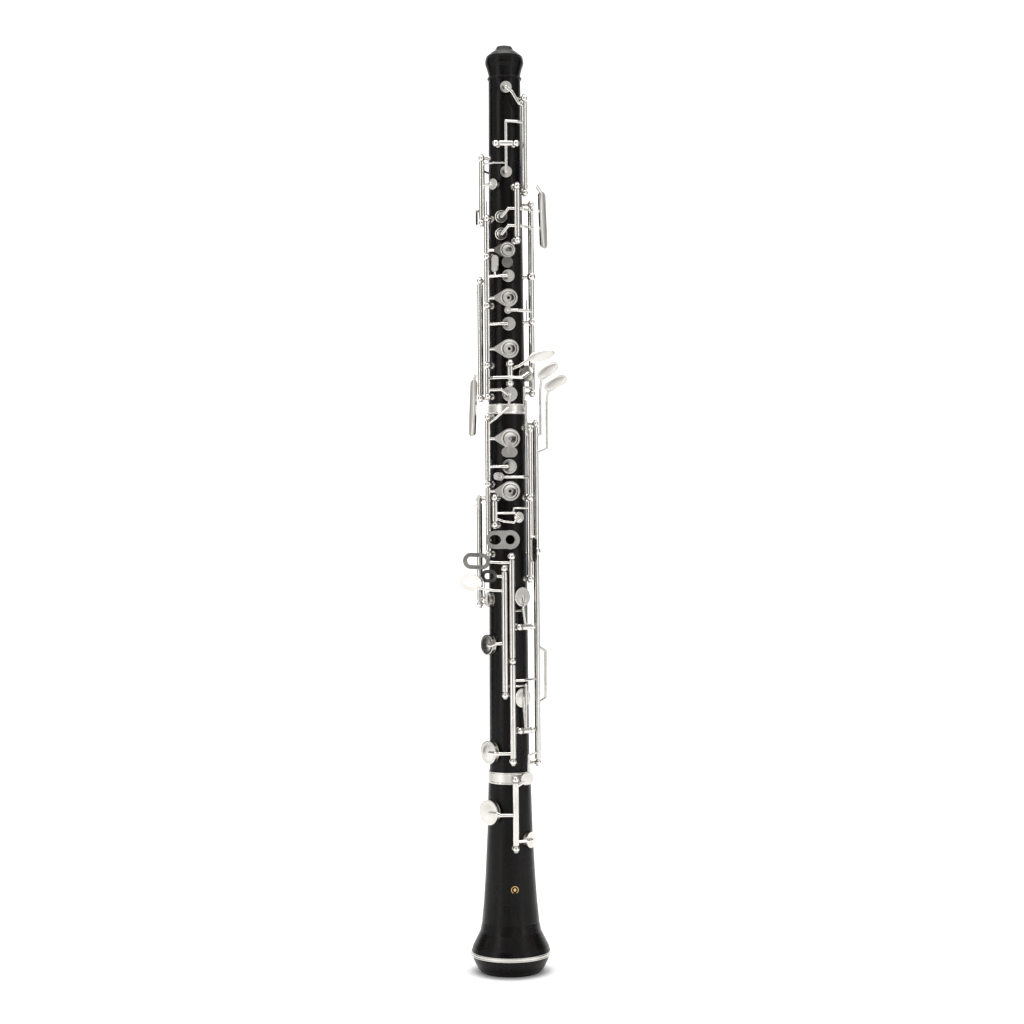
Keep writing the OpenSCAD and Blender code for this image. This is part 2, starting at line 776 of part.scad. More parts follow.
// The ring key's plate has a window in it and a hole for the finger over the tone hole
module d_ring_key() {
    line = lower_stack_line;
    hole = lower_holes[5];
    h = seat_r(hole[1]) + cup_top;
    window = -12.8;
    color(silver) opened(line, plate_open) difference() {
        on_tube(line, lower_stack_posts[0] + post_clear, e_split) {
            cup(hole);
            bar(by_cup(hole[0], hole[1], 0, h - 0.6), by_cup(hole[0], hole[1], -9.5, h - 0.6), 11.6, 1.2);
            route([at(line, hole[1]), by_cup(hole[0], hole[1], -10, h - 0.7)], 2);
        }
        facing(hole[0], 5, hole[1]) cylinder(r = 3, h = 20);
        facing(hole[0] - 34, 13, hole[1]) cylinder(r = 3.1, h = 10);
    }
}
module d_ring_pad() {
    hole = lower_holes[5];
    opened(lower_stack_line, plate_open) difference() {
        pad(hole);
        facing(hole[0], 5, hole[1]) cylinder(r = 3, h = 20);
    }
}

module f_vent_key() {
    line = f_vent_line;
    hole = lower_holes[4];
    end = by_cup(hole[0], hole[1], 0, arm_h(hole[1]));
    color(silver) on_tube(line, f_vent_posts[0] + post_clear, f_vent_posts[1] - post_clear) {
        cup(hole);
        route([at(line, 294.7), place(-8, 17, 294.7), place(16, 16.4, 294.7), end], 1.6);
        route([at(line, 291.5), place(-8, 16.6, 289.4), place(14, 16, 288.6), end], 1.6);
    }
}
module f_vent_pad() { pad(lower_holes[4]); }

module f_lever() {
    line = right_side_line;
    low = right_side_posts[0];
    high = right_side_posts[1];
    z = 297.8;
    color(silver) on_axle(line, low + post_clear, high - post_clear, low - post_r, high - 0.1) {
        route([at(line, z), place(34, 15, z), place(16, 14.5, z), place(14, 14.4, 294.6)], 1.2);
        route([at(line, 280), place(58, 19.6, 279)], 2.2);
        bar(place(56, 19.9, 276.5), place(56, 19.9, 266), 5.4, 1.3);
    }
}

module side_vent_key() {
    line = side_vent_line;
    hole = lower_holes[6];
    z = 299.8;
    color(silver) on_tube(line, side_vent_posts[0] + post_clear, side_vent_posts[1] - post_clear) {
        cup(hole);
        cup_arm(line, hole, -1, 240.5);
        route([at(line, z), place(-84, 21.4, z), place(-64, 20.9, z), place(-62, 20.8, 306)], 1.8);
    }
}
module side_vent_pad() { pad(lower_holes[6]); }

// ---- right side ----

module right_trill_lever() {
    line = right_side_line;
    low = right_side_posts[1];
    high = right_side_posts[2];
    z = 317.6;
    color(silver) on_axle(line, low + post_clear, high - post_clear, low + 0.1, high + post_r) {
        route([at(line, z), place(34, 17.4, z), place(8, 17, z), place(-12, 16.6, z)], 1.8);
        bar(place(-14, 16.6, 317.9), place(-22, 16.6, 318.3), 5, 1.3);
        route([at(line, 344), place(44, 17.7, 345), place(44, 17.7, 366)], 1.6);
    }
}

module low_b_lever() {
    line = low_note_line;
    low = low_note_posts[0];
    high = low_note_posts[1];
    color(silver) {
        on_axle(line, 341.6, high - post_clear, low - post_r, high + post_r) {
            route([at(line, 344.5), [21.5, -5, 345], [21.5, -5, 374], [22.4, -6.6, 382]], 1.6);
            slab([22.8, -7, 383.1], [30, -7.5, 388.3], 6.4, 1.3, [0.35, -1, 0]);
        }
        on_axle(line, 177.25, 204.95, 200, 204)
            route([at(line, 188.2), place(68, 17, 188.2), place(57, 15.5, 188.2)], 1.5);
    }
}

module low_b_flat_lever() {
    line = low_note_line;
    low = low_note_posts[0];
    color(silver) difference() {
        union() {
            tube(line, low + post_clear, 177.1);
            tube(line, 205.1, 341.45);
            route([at(line, 172.5), [23.6, -3.55, 176], [23.6, -3.55, 206], at(line, 209.5)], 2);
            route([at(line, 333), [25.5, -4.5, 336], [25.5, -4.5, 366], [26.8, -6.2, 374.6]], 1.6);
            slab([27.2, -6.6, 375.4], [35.4, -7, 380.2], 6.4, 1.3, [0.35, -1, 0]);
            route([at(line, 141), place(64, 18, 141), place(47, 16.9, 140), place(46, 16.8, 127)], 1.8);
        }
        tube_bore(line, low, 345);
    }
}

// ---- little finger keys of the right hand ----

module c_sharp_key() {
    line = c_line;
    low = c_posts[0];
    high = c_posts[1];
    z = 184.3;
    color(silver) {
        on_axle(line, 251.6, high - post_clear, low - post_r, high + post_r) {
            route([at(line, 254.2), [-7, -18.2, 254.6]], 2);
            loop([-11, -18, 254.8], [-13.2, -17.6, 254.8], 8.2, 2.3, 1.4);
        }
        on_axle(line, low + post_clear, 186, 185, 187)
            route([at(line, z), place(-4, 14.5, z), place(24, 14.1, z), place(46, 13.9, z)], 1.4);
    }
}

module c_key() {
    line = c_line;
    hole = lower_holes[8];
    color(silver) opened(line, -c_open) on_tube(line, 186.15, 251.45) {
        cup(hole);
        route([at(line, 212), place(-26, 17.2, 211.5), by_cup(hole[0], hole[1], hole[2], arm_h(hole[1])),
            by_cup(hole[0], hole[1], 2, arm_h(hole[1]))]);
        route([at(line, 245.3), [-9, -18.2, 245.6], [-18.8, -17.4, 247.4]], 1.8);
        loop([-22.2, -17, 250.4], [-25.8, -16.4, 251.2], 10.8, 2.8, 1.4);
    }
}
module c_pad() { opened(c_line, -c_open) pad(lower_holes[8]); }

module e_flat_key() {
    line = e_flat_line;
    z = 232.4;
    color(silver) on_tube(line, e_flat_posts[1] + post_clear, e_flat_posts[2] - post_clear) {
        route([at(line, 263.2), place(-12, 18.9, 263.2), [-12.6, -18.2, 263.8]], 1.8);
        loop([-16.5, -17.8, 264.2], [-23.4, -16.6, 264.6], 10.4, 2.6, 1.4);
        route([at(line, z), place(20, 15.2, z), place(39, 13.45, z)], 1.4);
    }
}

module e_flat_rocker() {
    hole = lower_holes[7];
    color(silver) rocker(e_flat_axle, hole, place(38, 15.4, 234));
}
module e_flat_pad() { pad(lower_holes[7]); }

module c_sharp_rocker() {
    hole = lower_holes[9];
    color(silver) rocker(c_sharp_axle, hole, place(43, 15.9, 184.9));
}
module c_sharp_pad() { pad(lower_holes[9]); }

module low_b_key() {
    line = e_flat_line;
    hole = lower_holes[10];
    color(silver) opened(line, -low_b_open)
        on_tube(line, e_flat_posts[0] + post_clear, e_flat_posts[1] - post_clear) {
            cup(hole);
            route([
                at(line, 141.8), place(-20, 17.8, 141.8),
                by_cup(hole[0], hole[1], hole[2], arm_h(hole[1])),
                by_cup(hole[0], hole[1], 2, arm_h(hole[1]))
            ], 2.4);
            route([at(line, 188.2), place(30, 19.2, 188.2), place(56, 19.4, 188.2)], 1.6);
        }
}
module low_b_pad() { opened(e_flat_line, -low_b_open) pad(lower_holes[10]); }

// The bell key's large cup stands open, and its small cup stands shut
module bell_key() {
    line = bell_line;
    big = bell_holes[0];
    small = bell_holes[1];
    color(silver) on_tube(line, bell_posts[0] + post_clear, bell_posts[1] - post_clear) {
        opened(line, -bell_open) {
            cup(big);
            route([at(line, 102.9), place(-18, 18.6, 102.9), by_cup(big[0], big[1], big[2], arm_h(big[1])),
                by_cup(big[0], big[1], 2, arm_h(big[1]))], 2.4);
        }
        cup(small);
        route([at(line, 86), place(34, 18.8, 86), by_cup(small[0], small[1], 0, arm_h(small[1]))]);
        route([at(line, 120.8), place(26, 18.9, 123.5)], 2.2);
        bar(place(32, 18.6, 125.5), place(42, 18.3, 125.5), 7.5, 1.2);
    }
}
module bell_pads() {
    pad(bell_holes[1]);
    opened(bell_line, -bell_open) pad(bell_holes[0]);
}

top_joint();
lower_joint();
bell();
tenon_corks();
joint_rings();
key_posts();
hinge_rods();
needle_springs();
thumb_rest();
side_octave_key();
side_octave_pad();
octave_rocker();
octave_rocker_pad();
thumb_octave_key();
third_octave_key();
third_octave_pad();
upper_trill_key();
upper_trill_pad();
lower_trill_key();
lower_trill_pad();
upper_trill_lever();
lower_trill_lever();
half_hole_key();
half_hole_pad();
b_plate_key();
b_plate_pads();
g_plate_key();
g_plate_pads();
g_sharp_lever();
g_sharp_key();
g_sharp_pad();
bridge_vent_key();
bridge_vent_pad();
a_flat_trill_lever();
f_sharp_plate_key();
f_sharp_pads();
e_plate_key();
e_plate_pad();
d_ring_key();
d_ring_pad();
f_vent_key();
f_vent_pad();
f_lever();
side_vent_key();
side_vent_pad();
right_trill_lever();
low_b_lever();
low_b_flat_lever();
c_sharp_key();
e_flat_key();
c_key();
c_pad();
e_flat_rocker();
e_flat_pad();
c_sharp_rocker();
c_sharp_pad();
low_b_key();
low_b_pad();
bell_key();
bell_pads();
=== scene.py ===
"""Looks of the oboe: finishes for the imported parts, and the fine pieces that ride on them."""

import math

import bmesh
import bpy
from bpy.props import FloatProperty, FloatVectorProperty, IntProperty, PointerProperty
from mathutils import Matrix, Vector


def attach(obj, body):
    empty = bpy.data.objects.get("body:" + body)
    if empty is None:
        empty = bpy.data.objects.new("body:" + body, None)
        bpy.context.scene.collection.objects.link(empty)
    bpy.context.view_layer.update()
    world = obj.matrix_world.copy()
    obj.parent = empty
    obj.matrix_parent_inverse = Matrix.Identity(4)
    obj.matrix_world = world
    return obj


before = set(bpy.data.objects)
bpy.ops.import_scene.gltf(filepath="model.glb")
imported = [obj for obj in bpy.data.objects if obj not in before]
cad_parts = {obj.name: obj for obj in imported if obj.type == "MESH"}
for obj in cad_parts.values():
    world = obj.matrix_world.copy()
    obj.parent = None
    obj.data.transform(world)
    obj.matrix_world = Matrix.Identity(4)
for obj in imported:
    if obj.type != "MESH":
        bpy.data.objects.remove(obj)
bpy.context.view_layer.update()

bl_info = {
    "name": "Oboe looks",
    "version": (1, 0, 0),
    "blender": (4, 5, 0),
    "location": "3D View > Sidebar > Oboe",
    "description": "Finishes and fine pieces for an oboe with a silver plated keywork",
    "category": "Object",
}

MM = 0.001

# Outside of the wood: height and radius, mm
WOOD_OUTLINE = [
    (0, 19), (2.6, 21.4), (7, 23.7), (14.2, 25.3), (16.8, 24.3), (19.3, 23), (26, 19.7), (32, 18.5),
    (45, 17.2), (58, 16.3), (71, 15.6), (90, 14.6), (116, 13.9), (129, 12.9), (148, 12.8),
    (213, 12.5), (357, 11.9), (368, 11.7), (413, 11.3), (464.6, 10.95), (571, 10.3),
]
SEAT_DEPTH = 1.0
CUP_TOP = 3.0

# Hinge lines: angle round the bore, distance from it, heights of their end posts, mm
HINGE_LINES = {
    "side_octave": (54, 15.4, 499.5, 560),
    "thumb": (-70, 16, 481, 522.5),
    "trill": (28, 16, 468.5, 503),
    "upper_stack": (-48.5, 16, 369.2, 483),
    "long_trill": (80, 16.5, 371.5, 492.9),
    "g_sharp": (8, 17, 377.3, 389.9),
    "left_lever": (-78, 17, 368.5, 444),
    "lower_stack": (-46.5, 16.8, 268.5, 356),
    "f_vent": (-28.7, 16.8, 287.2, 304.5),
    "right_side": (57, 16.8, 252.5, 349),
    "low_note": (79, 18.6, 134.5, 352),
    "e_flat": (8, 17.6, 136.6, 267),
    "c": (-7.5, 17.6, 179, 259.5),
    "side_vent": (-100, 18.5, 236, 303.5),
    "bell": (11.5, 19, 81.5, 125.5),
}

# How far a key stands open at rest: hinge line and degrees about it
STANDS_OPEN = {
    "half_hole": ("upper_stack", 7), "b_plate": ("upper_stack", 7), "g_plate": ("upper_stack", 7),
    "f_sharp_plate": ("lower_stack", 7), "e_plate": ("lower_stack", 7), "d_ring": ("lower_stack", 7),
    "bridge_vent": ("upper_stack", 7.3), "c": ("c", -8), "low_b": ("e_flat", -8), "bell_key": ("bell", -9),
}

# Finger plates: body, angle, height, radius, and what stands in the middle
PLATES = (
    ("half_hole", 6.4, 462.4, 5.25, "bead"),
    ("b_plate", 8.8, 431.9, 5.8, "vent"),
    ("g_plate", 9.8, 399.4, 6.1, "vent"),
    ("f_sharp_plate", 9.6, 342.2, 6.3, "bead"),
    ("e_plate", 8.7, 308.7, 6.3, "vent"),
)

# Pad cups: body, angle, height, radius
CUPS = (
    ("side_octave", 4.4, 566.7, 3.7), ("octave_rocker", 3.4, 512.6, 3.7),
    ("third_octave", -38.8, 505.1, 3.55), ("upper_trill", -12.5, 484, 4.15),
    ("lower_trill", -12.5, 472.9, 4.15), ("b_plate", 8.8, 445.9, 4), ("g_plate", 9.1, 415.3, 4.3),
    ("bridge_vent", 10.6, 370.5, 4.8), ("f_sharp_plate", 7.5, 324.4, 4.7), ("f_vent", 31, 292, 3.5),
    ("side_vent", -66, 239.4, 4.85), ("e_flat_rocker", 39.5, 241.1, 6.15), ("c", -60, 210.5, 6.6),
    ("c_sharp_rocker", 37.3, 176.7, 6.15), ("low_b", -56.8, 141.8, 7.5), ("bell_key", -50.9, 103.8, 8),
)

# Crowned touches: body, both centres of the round ends, width, thickness of the plate under them
TOUCHES = (
    ("side_octave", (23.4, -3.3, 498), (24.4, -3.2, 467.5), 6, 1.3, (1, -1, 0)),
    ("a_flat_trill_lever", (-21.15, -1.48, 378), (-22.39, -0.78, 347), 5.4, 1.3, (-1, -1, 0)),
    ("g_sharp_lever", (17.5, -16, 393.4), (27.5, -12.5, 396.2), 7, 1.3, None),
    ("low_b_lever", (22.8, -7, 383.1), (30, -7.5, 388.3), 6.4, 1.3, (0.35, -1, 0)),
    ("low_b_flat_lever", (27.2, -6.6, 375.4), (35.4, -7, 380.2), 6.4, 1.3, (0.35, -1, 0)),
)

# Silver bands: lowest and highest height, radius
BANDS = {"middle": (358.15, 365, 12.2), "bell_joint": (121.65, 129, 13.9), "bell_rim": (11, 13.5, 26)}

WOODEN = ("top_joint", "lower_joint", "bell")
SATIN = ("joint_rings", "thumb_rest")


class OboeSizes(bpy.types.PropertyGroup):
    """Sizes of the fine pieces"""

    head_r: FloatProperty(
        name="Screw head radius", description="Radius of the slotted heads on the hinge lines",
        default=1.3 * MM, unit="LENGTH",
    )
    head_h: FloatProperty(
        name="Screw head height", description="How far a slotted head stands out",
        default=0.75 * MM, unit="LENGTH",
    )
    slot_w: FloatProperty(
        name="Slot width", description="Width of the slot in a screw head",
        default=0.34 * MM, unit="LENGTH",
    )
    dome_h: FloatProperty(
        name="Cup crown", description="How far the crown of a pad cup rises",
        default=0.42 * MM, unit="LENGTH",
    )
    touch_crown: FloatProperty(
        name="Touch crown", description="How far a little finger touch swells",
        default=0.75 * MM, unit="LENGTH",
    )
    turn_steps: IntProperty(
        name="Turning steps", description="Faces round a turned piece", default=48, min=16, max=96,
    )


class OboeColours(bpy.types.PropertyGroup):
    """Colours of the finishes"""

    wood: FloatVectorProperty(
        name="Blackwood", description="Oiled blackwood between its grain lines", subtype="COLOR",
        size=4, min=0, max=1, default=(0.0035, 0.003, 0.0028, 1),
    )
    wood_line: FloatVectorProperty(
        name="Grain line", description="Grain lines of the blackwood", subtype="COLOR",
        size=4, min=0, max=1, default=(0.012, 0.0085, 0.007, 1),
    )
    silver: FloatVectorProperty(
        name="Silver", description="Polished silver plate", subtype="COLOR",
        size=4, min=0, max=1, default=(0.8, 0.775, 0.735, 1),
    )
    tarnish: FloatVectorProperty(
        name="Tarnish", description="Silver where fingers seldom rub it", subtype="COLOR",
        size=4, min=0, max=1, default=(0.66, 0.64, 0.6, 1),
    )
    steel: FloatVectorProperty(
        name="Steel", description="Bright steel of rods and screws", subtype="COLOR",
        size=4, min=0, max=1, default=(0.6, 0.61, 0.63, 1),
    )
    spring: FloatVectorProperty(
        name="Blued spring", description="Tempered steel of the needle springs", subtype="COLOR",
        size=4, min=0, max=1, default=(0.07, 0.1, 0.24, 1),
    )
    cork: FloatVectorProperty(
        name="Cork", description="Cork between its pores", subtype="COLOR",
        size=4, min=0, max=1, default=(0.62, 0.42, 0.24, 1),
    )
    pad: FloatVectorProperty(
        name="Pad skin", description="Bladder skin over felt", subtype="COLOR",
        size=4, min=0, max=1, default=(0.8, 0.7, 0.55, 1),
    )
    gold: FloatVectorProperty(
        name="Gold", description="Inlay on the bell", subtype="COLOR",
        size=4, min=0, max=1, default=(0.86, 0.6, 0.26, 1),
    )
    backdrop: FloatVectorProperty(
        name="Backdrop", description="Studio paper", subtype="COLOR",
        size=4, min=0, max=1, default=(0.93, 0.93, 0.93, 1),
    )


# ---- places on the bore ----


def lookup(outline, height):
    """Radius of an outline of (height, radius) pairs at a height."""
    for (low, low_r), (high, high_r) in zip(outline, outline[1:]):
        if low <= height <= high:
            return low_r + (high_r - low_r) * (height - low) / (high - low)
    return outline[-1][1]


def facing(angle, distance, height):
    """A frame on the bore, in metres: z points out from it, y up, at an angle and a distance in mm."""
    turn = math.radians(angle)
    across = Vector((math.cos(turn), math.sin(turn), 0))
    out = Vector((math.sin(turn), -math.cos(turn), 0))
    place = Matrix((across, Vector((0, 0, 1)), out)).transposed().to_4x4()
    place.translation = (out * distance + Vector((0, 0, height))) * MM
    return place


def opened(body):
    """The turn of a key that stands open at rest."""
    if body not in STANDS_OPEN:
        return Matrix.Identity(4)
    line, degrees = STANDS_OPEN[body]
    angle, distance = HINGE_LINES[line][:2]
    centre = facing(angle, distance, 0).translation
    turn = Matrix.Rotation(-math.radians(degrees), 4, "Z")
    return Matrix.Translation(centre) @ turn @ Matrix.Translation(-centre)


def over_cup(body, angle, height):
    """The frame at the middle of a tone hole's flat, carried along if its key stands open."""
    return opened(body) @ facing(angle, lookup(WOOD_OUTLINE, height) - SEAT_DEPTH, height)


def along_bar(start, end, out=None):
    """A frame in the middle of a flat bar: x along it, z the way it faces, or straight out from the bore."""
    start, end = Vector(start) * MM, Vector(end) * MM
    along = (end - start).normalized()
    middle = (start + end) / 2
    out = Vector(out or (middle.x, middle.y, 0))
    out = (out - along * along.dot(out)).normalized()
    place = Matrix((along, out.cross(along), out)).transposed().to_4x4()
    place.translation = middle
    return place


# ---- shaping ----


def turned(bm, outline, place, steps):
    """Turns an outline of (radius, height) pairs in mm about the z axis of a frame."""
    points = [bm.verts.new((radius * MM, 0, height * MM)) for radius, height in outline]
    lines = [bm.edges.new(pair) for pair in zip(points, points[1:])]
    if outline[0][0] > 0:
        lines.append(bm.edges.new((points[-1], points[0])))
    before = set(bm.verts) - set(points)
    bmesh.ops.spin(
        bm, geom=points + lines, cent=(0, 0, 0), axis=(0, 0, 1), angle=math.tau,
        steps=steps, use_merge=True,
    )
    fresh = [v for v in bm.verts if v not in before]
    bmesh.ops.remove_doubles(bm, verts=fresh, dist=1e-7)
    fresh = [v for v in bm.verts if v not in before]
    bmesh.ops.transform(bm, matrix=place, verts=fresh)
    return fresh


def half_disc(bm, radius, low, high, gap, side, place):
    """Half of a short cylinder, cut off at the slot's wall."""
    shape = bmesh.ops.create_cone(
        bm, cap_ends=True, segments=24, radius1=radius, radius2=radius * 0.9, depth=high - low,
        matrix=Matrix.Translation((0, 0, (low + high) / 2)),
    )
    geom = set(shape["verts"])
    for v in shape["verts"]:
        geom.update(v.link_edges)
        geom.update(v.link_faces)
    cut = bmesh.ops.bisect_plane(
        bm, geom=list(geom), dist=1e-8, plane_co=(side * gap / 2, 0, 0), plane_no=(side, 0, 0),
        clear_inner=True,
    )
    rim = [e for e in cut["geom_cut"] if isinstance(e, bmesh.types.BMEdge)]
    bmesh.ops.edgeloop_fill(bm, edges=rim)
    kept = {v for e in rim for v in e.verts}
    grown = True
    while grown:
        more = {e.other_vert(v) for v in kept for e in v.link_edges} - kept
        kept |= more
        grown = bool(more)
    bmesh.ops.transform(bm, matrix=place, verts=list(kept))


def slotted_head(bm, place, radius, height, slot):
    """A screw head with a slot across it, standing on the frame's origin."""
    shape = bmesh.ops.create_cone(
        bm, cap_ends=True, segments=24, radius1=radius, radius2=radius, depth=height * 0.55,
        matrix=Matrix.Translation((0, 0, height * 0.275)),
    )
    bmesh.ops.transform(bm, matrix=place, verts=shape["verts"])
    for side in (-1, 1):
        half_disc(bm, radius * 0.985, height * 0.5, height, slot, side, place)


def piece(bm, name, body, material):
    """Makes the bmesh an object of the oboe that rides on a body."""
    bmesh.ops.recalc_face_normals(bm, faces=bm.faces)
    for face in bm.faces:
        face.smooth = True
    for edge in bm.edges:
        edge.smooth = edge.calc_face_angle(0) < math.radians(35)
    mesh = bpy.data.meshes.new(name)
    bm.to_mesh(mesh)
    bm.free()
    made = bpy.data.objects.new(name, mesh)
    bpy.context.scene.collection.objects.link(made)
    mesh.materials.append(bpy.data.materials[material])
    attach(made, body)
    return made


# ---- effects that several finishes share ----


def new_group(name, inputs, outputs):
    """A shader node group with float or vector inputs and float or colour outputs."""
    tree = bpy.data.node_groups.new(name, "ShaderNodeTree")
    for label, kind, value in inputs:
        socket = tree.interface.new_socket(name=label, in_out="INPUT", socket_type=kind)
        if value is not None:
            socket.default_value = value
    for label, kind in outputs:
        tree.interface.new_socket(name=label, in_out="OUTPUT", socket_type=kind)
    return tree, tree.nodes.new("NodeGroupInput"), tree.nodes.new("NodeGroupOutput")


def add_noise(tree, vector, scale, detail, roughness=0.5):
    noise = tree.nodes.new("ShaderNodeTexNoise")
    noise.inputs["Detail"].default_value = detail
    noise.inputs["Roughness"].default_value = roughness
    tree.links.new(vector, noise.inputs["Vector"])
    if isinstance(scale, (int, float)):
        noise.inputs["Scale"].default_value = scale
    else:
        tree.links.new(scale, noise.inputs["Scale"])
    return noise


def add_range(tree, value, low, high, to_low, to_high):
    ramp = tree.nodes.new("ShaderNodeMapRange")
    ramp.inputs["From Min"].default_value = low
    ramp.inputs["From Max"].default_value = high
    ramp.inputs["To Min"].default_value = to_low
    ramp.inputs["To Max"].default_value = to_high
    tree.links.new(value, ramp.inputs["Value"])
    return ramp.outputs["Result"]


def add_maths(tree, operation, first, second):
    maths = tree.nodes.new("ShaderNodeMath")
    maths.operation = operation
    for socket, value in zip(maths.inputs, (first, second)):
        if isinstance(value, (int, float)):
            socket.default_value = value
        else:
            tree.links.new(value, socket)
    return maths.outputs["Value"]


def add_mapping(tree, vector, scale):
    mapping = tree.nodes.new("ShaderNodeMapping")
    mapping.inputs["Scale"].default_value = scale
    tree.links.new(vector, mapping.inputs["Vector"])
    return mapping.outputs["Vector"]


def make_handling():
    """Cloudy marks left by hands: a mask of the dulled places."""
    tree, given, made = new_group(
        "Handling marks",
        [("Vector", "NodeSocketVector", None), ("Scale", "NodeSocketFloat", 90.0),
         ("Amount", "NodeSocketFloat", 1.0)],
        [("Mask", "NodeSocketFloat")],
    )
    broad = add_noise(tree, given.outputs["Vector"], given.outputs["Scale"], 4)
    fine = add_noise(tree, given.outputs["Vector"], 900, 3)
    faint = add_maths(tree, "MULTIPLY", fine.outputs["Fac"], 0.35)
    both = add_maths(tree, "ADD", broad.outputs["Fac"], faint)
    mask = add_range(tree, both, 0.52, 0.86, 0, 1)
    tree.links.new(add_maths(tree, "MULTIPLY", mask, given.outputs["Amount"]), made.inputs["Mask"])


def make_hairlines():
    """Fine polishing lines: a height for a bump."""
    tree, given, made = new_group(
        "Polishing lines",
        [("Vector", "NodeSocketVector", None), ("Scale", "NodeSocketFloat", 1200.0)],
        [("Height", "NodeSocketFloat")],
    )
    drawn_up = add_mapping(tree, given.outputs["Vector"], (1, 1, 0.08))
    along = add_noise(tree, drawn_up, given.outputs["Scale"], 2)
    drawn_out = add_mapping(tree, given.outputs["Vector"], (0.08, 0.08, 1))
    around = add_noise(tree, drawn_out, given.outputs["Scale"], 2)
    tree.links.new(add_maths(tree, "ADD", along.outputs["Fac"], around.outputs["Fac"]), made.inputs["Height"])


def make_grain():
    """Long pores and streaks of a dense wood: a mask of the lighter lines and a height."""
    tree, given, made = new_group(
        "Wood pores",
        [("Vector", "NodeSocketVector", None)],
        [("Lines", "NodeSocketFloat"), ("Height", "NodeSocketFloat")],
    )
    streaks = add_noise(tree, add_mapping(tree, given.outputs["Vector"], (1, 1, 0.035)), 520, 5, 0.6)
    bands = add_noise(tree, add_mapping(tree, given.outputs["Vector"], (1, 1, 0.02)), 120, 3)
    pores = add_noise(tree, add_mapping(tree, given.outputs["Vector"], (1, 1, 0.05)), 2600, 2)
    streaked = add_range(tree, streaks.outputs["Fac"], 0.48, 0.72, 0, 1)
    lines = add_maths(tree, "MULTIPLY", streaked, bands.outputs["Fac"])
    tree.links.new(lines, made.inputs["Lines"])
    dips = add_range(tree, pores.outputs["Fac"], 0.34, 0.44, 0, 1)
    raised = add_maths(tree, "MULTIPLY", lines, 0.3)
    tree.links.new(add_maths(tree, "ADD", dips, raised), made.inputs["Height"])


# ---- finishes ----


def new_finish(name):
    finish = bpy.data.materials.new(name)
    finish.use_nodes = True
    tree = finish.node_tree
    shader = tree.nodes["Principled BSDF"]
    coordinates = tree.nodes.new("ShaderNodeTexCoord").outputs["Object"]
    return tree, shader, coordinates


def place_group(tree, name, coordinates, **values):
    node = tree.nodes.new("ShaderNodeGroup")
    node.node_tree = bpy.data.node_groups[name]
    tree.links.new(coordinates, node.inputs["Vector"])
    for label, value in values.items():
        node.inputs[label].default_value = value
    return node


def mix_colour(tree, mask, first, second):
    mix = tree.nodes.new("ShaderNodeMix")
    mix.data_type = "RGBA"
    tree.links.new(mask, mix.inputs["Factor"])
    mix.inputs[6].default_value = first
    mix.inputs[7].default_value = second
    return mix.outputs[2]


def bump_from(tree, height, strength, distance):
    bump = tree.nodes.new("ShaderNodeBump")
    bump.inputs["Strength"].default_value = strength
    bump.inputs["Distance"].default_value = distance
    tree.links.new(height, bump.inputs["Height"])
    return bump.outputs["Normal"]


def metal_finish(name, bright, dull, smooth, rough, amount, bump):
    """A polished metal that is duller in its handling marks, with fine polishing lines."""
    tree, shader, coordinates = new_finish(name)
    marks = place_group(tree, "Handling marks", coordinates, Amount=amount).outputs["Mask"]
    lines = place_group(tree, "Polishing lines", coordinates).outputs["Height"]
    tree.links.new(mix_colour(tree, marks, bright, dull), shader.inputs["Base Color"])
    tree.links.new(add_range(tree, marks, 0, 1, smooth, rough), shader.inputs["Roughness"])
    tree.links.new(bump_from(tree, lines, bump, 0.00002), shader.inputs["Normal"])
    shader.inputs["Metallic"].default_value = 1


def wood_finish(colours):
    tree, shader, coordinates = new_finish("Oiled blackwood")
    grain = place_group(tree, "Wood pores", coordinates)
    marks = place_group(tree, "Handling marks", coordinates, Scale=60, Amount=1).outputs["Mask"]
    grained = mix_colour(tree, grain.outputs["Lines"], colours.wood, colours.wood_line)
    tree.links.new(grained, shader.inputs["Base Color"])
    tree.links.new(add_range(tree, marks, 0, 1, 0.24, 0.36), shader.inputs["Roughness"])
    tree.links.new(bump_from(tree, grain.outputs["Height"], 0.22, 0.00004), shader.inputs["Normal"])
    shader.inputs["Specular IOR Level"].default_value = 0.16


def cork_finish(colours):
    tree, shader, coordinates = new_finish("Cork")
    cells = tree.nodes.new("ShaderNodeTexVoronoi")
    cells.inputs["Scale"].default_value = 1500
    tree.links.new(coordinates, cells.inputs["Vector"])
    flecks = add_noise(tree, coordinates, 700, 4)
    mask = add_range(tree, flecks.outputs["Fac"], 0.52, 0.66, 0, 1)
    dark = [part * 0.35 for part in colours.cork[:3]] + [1]
    tree.links.new(mix_colour(tree, mask, colours.cork, dark), shader.inputs["Base Color"])
    height = add_maths(tree, "SUBTRACT", cells.outputs["Distance"], mask)
    tree.links.new(bump_from(tree, height, 0.5, 0.0001), shader.inputs["Normal"])
    shader.inputs["Roughness"].default_value = 0.82


def pad_finish(colours):
    tree, shader, coordinates = new_finish("Pad skin")
    creases = add_noise(tree, coordinates, 650, 6, 0.65)
    blotches = add_noise(tree, coordinates, 160, 3)
    pale = [min(part * 1.12, 1) for part in colours.pad[:3]] + [1]
    mask = add_range(tree, blotches.outputs["Fac"], 0.35, 0.65, 0, 1)
    tree.links.new(mix_colour(tree, mask, colours.pad, pale), shader.inputs["Base Color"])
    tree.links.new(add_range(tree, creases.outputs["Fac"], 0.3, 0.7, 0.5, 0.65), shader.inputs["Roughness"])
    tree.links.new(bump_from(tree, creases.outputs["Fac"], 0.35, 0.00008), shader.inputs["Normal"])


